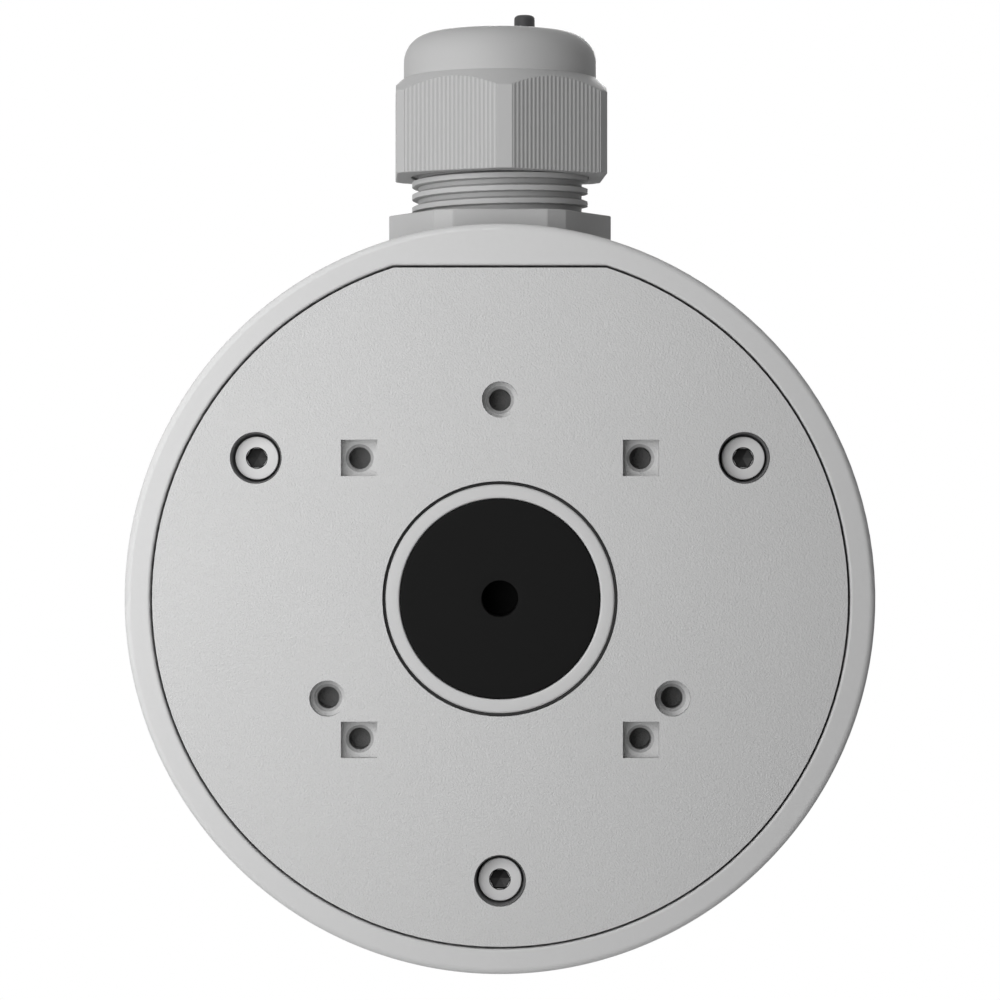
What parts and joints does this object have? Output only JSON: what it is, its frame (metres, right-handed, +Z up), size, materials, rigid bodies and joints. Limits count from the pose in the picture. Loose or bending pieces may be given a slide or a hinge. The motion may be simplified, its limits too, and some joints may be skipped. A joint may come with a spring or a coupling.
{
  "type": "camera junction box",
  "caption": "Round die-cast junction box for a wall camera, with a screwed cover, camera fixing holes, a cable opening and a ribbed cable gland on top.",
  "frame": {"origin": "where the axis of the round box meets the wall, which is the middle of the wall hole pattern in the box's back face", "axes": "+Z up towards the cable gland, +Y into the wall, the cover faces -Y and +X is to the right as the cover is seen"},
  "size_m": [0.1, 0.0432, 0.1304],
  "materials": {
    "painted_casting": "light grey powder coat, fine texture, smooth on the rim",
    "painted_cover": "light grey powder coat with a fine orange peel",
    "painted_ring": "smooth light grey paint",
    "painted_screw": "stainless steel, satin",
    "bare_alloy": "bare turned alloy",
    "steel": "plain steel",
    "black_rubber": "matt black rubber",
    "seal_rubber": "soft black rubber",
    "grey_nylon": "moulded grey nylon, satin",
    "light_nylon": "moulded natural nylon",
    "dark_nylon": "dark grey nylon"
  },
  "bodies": {
    "box": {"box_body": "painted_casting", "front_cover": "painted_cover", "cover_seal": "seal_rubber", "cable_collar": "painted_ring", "collar_seal": "seal_rubber", "collar_nut": "bare_alloy", "cable_plug": "black_rubber", "earth_screw": "steel", "earth_washer": "steel", "gland_body": "grey_nylon", "gland_washer": "seal_rubber"},
    "gland_clamp": {"gland_cage": "light_nylon", "gland_insert": "seal_rubber", "gland_pin": "dark_nylon"},
    "gland_nut": {"gland_nut": "grey_nylon"},
    "screw_1_carrier": {"screw_seal_1": "black_rubber", "screw_clip_1": "light_nylon"},
    "screw_1": {"cover_screw_1": "painted_screw"},
    "screw_2_carrier": {"screw_seal_2": "black_rubber", "screw_clip_2": "light_nylon"},
    "screw_2": {"cover_screw_2": "painted_screw"},
    "screw_3_carrier": {"screw_seal_3": "black_rubber", "screw_clip_3": "light_nylon"},
    "screw_3": {"cover_screw_3": "painted_screw"}
  },
  "joints": [
    {"name": "nut_travel", "type": "slide", "parent": "box", "child": "gland_clamp", "axis": [0, 0, 1], "range_m": [-0.0035, 0.00525]},
    {"name": "nut_turn", "type": "hinge", "parent": "gland_clamp", "child": "gland_nut", "pos_m": [0, -0.0216, 0.065], "axis": [0, 0, 1], "range_deg": [-720, 1080]},
    {"name": "screw_1_travel", "type": "slide", "parent": "box", "child": "screw_1_carrier", "axis": [0, -1, 0], "range_m": [0, 0.0045]},
    {"name": "screw_1_turn", "type": "hinge", "parent": "screw_1_carrier", "child": "screw_1", "pos_m": [0.03248, -0.038, 0.01875], "axis": [0, -1, 0], "range_deg": [0, 3240.5]},
    {"name": "screw_2_travel", "type": "slide", "parent": "box", "child": "screw_2_carrier", "axis": [0, -1, 0], "range_m": [0, 0.0045]},
    {"name": "screw_2_turn", "type": "hinge", "parent": "screw_2_carrier", "child": "screw_2", "pos_m": [-0.03248, -0.038, 0.01875], "axis": [0, -1, 0], "range_deg": [0, 3240.5]},
    {"name": "screw_3_travel", "type": "slide", "parent": "box", "child": "screw_3_carrier", "axis": [0, -1, 0], "range_m": [0, 0.0045]},
    {"name": "screw_3_turn", "type": "hinge", "parent": "screw_3_carrier", "child": "screw_3", "pos_m": [0, -0.038, -0.0375], "axis": [0, -1, 0], "range_deg": [0, 3240.5]}
  ],
  "couplings": [
    {"joint": "nut_travel", "follows": "nut_turn", "m_per_rad": 0.00027852},
    {"joint": "screw_1_turn", "follows": "screw_1_travel", "rad_per_m": 12566},
    {"joint": "screw_2_turn", "follows": "screw_2_travel", "rad_per_m": 12566},
    {"joint": "screw_3_turn", "follows": "screw_3_travel", "rad_per_m": 12566}
  ]
}
